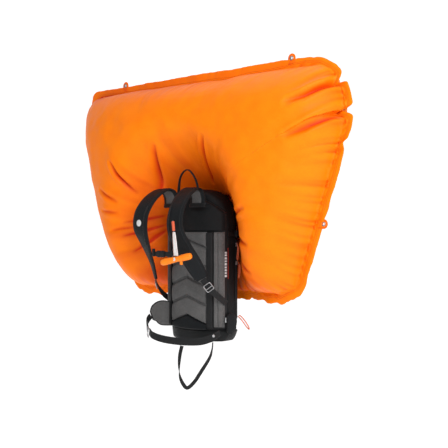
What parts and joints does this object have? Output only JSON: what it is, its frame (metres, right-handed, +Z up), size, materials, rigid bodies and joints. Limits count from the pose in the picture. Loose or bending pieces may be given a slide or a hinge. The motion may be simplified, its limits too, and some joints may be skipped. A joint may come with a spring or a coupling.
{
  "type": "avalanche airbag backpack",
  "caption": "Small ski touring backpack with a large airbag inflated behind it, a T-handle release on the shoulder strap, hip belt, leg loop and gas cylinder inflator.",
  "frame": {"origin": "middle of the lumbar pad's face, where the pack meets the wearer's back", "axes": "+Z up, +Y away from the wearer into the pack, +X towards the wearer's right"},
  "size_m": [1.2156, 0.4961, 1.0728],
  "materials": {
    "black_fabric": "matte",
    "bottom_fabric": "matte",
    "grey_mesh": "matte",
    "strap_fabric": "matte",
    "black_webbing": "satin",
    "orange_nylon": "satin",
    "orange_plastic": "satin",
    "black_plastic": "satin",
    "orange_cord": "matte",
    "white_lead": "matte",
    "steel": "satin",
    "aluminium": "satin",
    "rubber": "matte",
    "red_paint": "gloss"
  },
  "bodies": {
    "pack": {"airbag": "orange_nylon", "airbag_flap_left": "black_webbing", "airbag_flap_right": "black_webbing", "back_board": "black_plastic", "back_pad": "grey_mesh", "base_cover": "bottom_fabric", "belt_hook": "black_plastic", "belt_webbing_left": "black_webbing", "belt_webbing_right": "black_webbing", "cable_gland": "black_plastic", "cable_sleeve": "rubber", "compression_buckle": "black_plastic", "compression_strap": "black_webbing", "feed_pipe": "steel", "frame_sheet": "black_plastic", "frame_stay_left": "aluminium", "frame_stay_right": "aluminium", "gear_loop": "orange_cord", "hip_fin_left": "grey_mesh", "hip_fin_right": "grey_mesh", "inflator_body": "black_plastic", "intake_grille": "black_plastic", "lead_sleeve": "orange_plastic", "lumbar_border": "black_webbing", "neck_clamp": "steel", "pack_shell": "black_fabric", "plunger_spring": "steel", "shoulder_strap_left": "strap_fabric", "shoulder_strap_right": "strap_fabric", "side_pad_left": "grey_mesh", "side_pad_right": "grey_mesh", "spine_webbing_left": "black_webbing", "spine_webbing_right": "black_webbing", "strap_webbing_left": "black_webbing", "strap_webbing_right": "black_webbing", "valve_block": "aluminium", "yoke_panel": "black_fabric", "zip_track": "black_fabric"},
    "release": {"release_handle": "orange_plastic", "release_lead": "white_lead", "release_cable": "steel"},
    "plunger": {"firing_plunger": "steel"},
    "arming": {"arming_lever": "red_paint"},
    "cartridge": {"gas_cartridge": "red_paint"},
    "check_valve": {"check_valve_disc": "rubber"},
    "chest_strap": {"chest_slider_left": "black_plastic", "chest_slider_right": "black_plastic", "chest_webbing_left": "black_webbing", "chest_webbing_right": "black_webbing", "chest_buckle_socket": "black_plastic", "chest_buckle_plug": "black_plastic"},
    "belt_frame": {"belt_frame": "steel"},
    "ladder_lock_left": {"ladder_lock_left": "steel"},
    "ladder_lock_right": {"ladder_lock_right": "steel"},
    "zip_upper": {"zip_slider_upper": "steel", "zip_pull_upper": "orange_cord"},
    "zip_lower": {"zip_slider_lower": "steel", "zip_pull_lower": "orange_cord"},
    "haul_loop": {"haul_loop": "black_webbing"},
    "leg_loop": {"leg_loop": "black_webbing"}
  },
  "joints": [
    {"name": "release_handle_pull", "type": "slide", "parent": "pack", "child": "release", "axis": [0, 0.12, -0.9928], "range_m": [0, 0.03]},
    {"name": "plunger_travel", "type": "slide", "parent": "pack", "child": "plunger", "axis": [0, 0, 1], "range_m": [-0.006, 0], "deforming": ["plunger_spring"]},
    {"name": "arming_lever_turn", "type": "hinge", "parent": "pack", "child": "arming", "pos_m": [-0.07, 0.075, 0.211], "axis": [-1, 0, 0], "range_deg": [0, 80]},
    {"name": "cartridge_screw", "type": "hinge", "parent": "pack", "child": "cartridge", "pos_m": [-0.045, 0.075, 0.06], "axis": [0, 0, 1], "continuous": true},
    {"name": "check_valve_lift", "type": "slide", "parent": "pack", "child": "check_valve", "axis": [0, 1, 0], "range_m": [0, 0.004], "stiffness_N_per_m": 20},
    {"name": "chest_strap_height", "type": "slide", "parent": "pack", "child": "chest_strap", "axis": [0, -0.4789, 0.8779], "range_m": [-0.012, 0.008]},
    {"name": "belt_frame_turn", "type": "hinge", "parent": "pack", "child": "belt_frame", "pos_m": [-0.1014, -0.0775, -0.07], "axis": [0.4136, -0.2405, 0.8781], "range_deg": [-30, 0]},
    {"name": "ladder_lock_left_tilt", "type": "hinge", "parent": "pack", "child": "ladder_lock_left", "pos_m": [-0.11833, -0.02689, 0.08956], "axis": [0.635, -0.4851, -0.6012], "range_deg": [-30, 0]},
    {"name": "ladder_lock_right_tilt", "type": "hinge", "parent": "pack", "child": "ladder_lock_right", "pos_m": [0.11833, -0.02689, 0.08956], "axis": [0.635, 0.4851, 0.6012], "range_deg": [-30, 0]},
    {"name": "zip_upper_slide", "type": "slide", "parent": "pack", "child": "zip_upper", "axis": [0, 0, 1], "range_m": [-0.01, 0.008]},
    {"name": "zip_lower_slide", "type": "slide", "parent": "pack", "child": "zip_lower", "axis": [0, 0, 1], "range_m": [-0.17, 0.028]},
    {"name": "haul_loop_swing", "type": "hinge", "parent": "pack", "child": "haul_loop", "pos_m": [0, 0.0125, 0.37051], "axis": [1, 0, 0], "range_deg": [-10, 20], "stiffness_Nm_per_rad": 0.02},
    {"name": "leg_loop_swing", "type": "hinge", "parent": "pack", "child": "leg_loop", "pos_m": [0.0457, -0.0645, -0.1095], "axis": [0.8384, 0.5298, 0.1278], "range_deg": [-14, 14]}
  ],
  "couplings": [
    {"joint": "plunger_travel", "follows": "release_handle_pull", "ratio": -0.2}
  ]
}
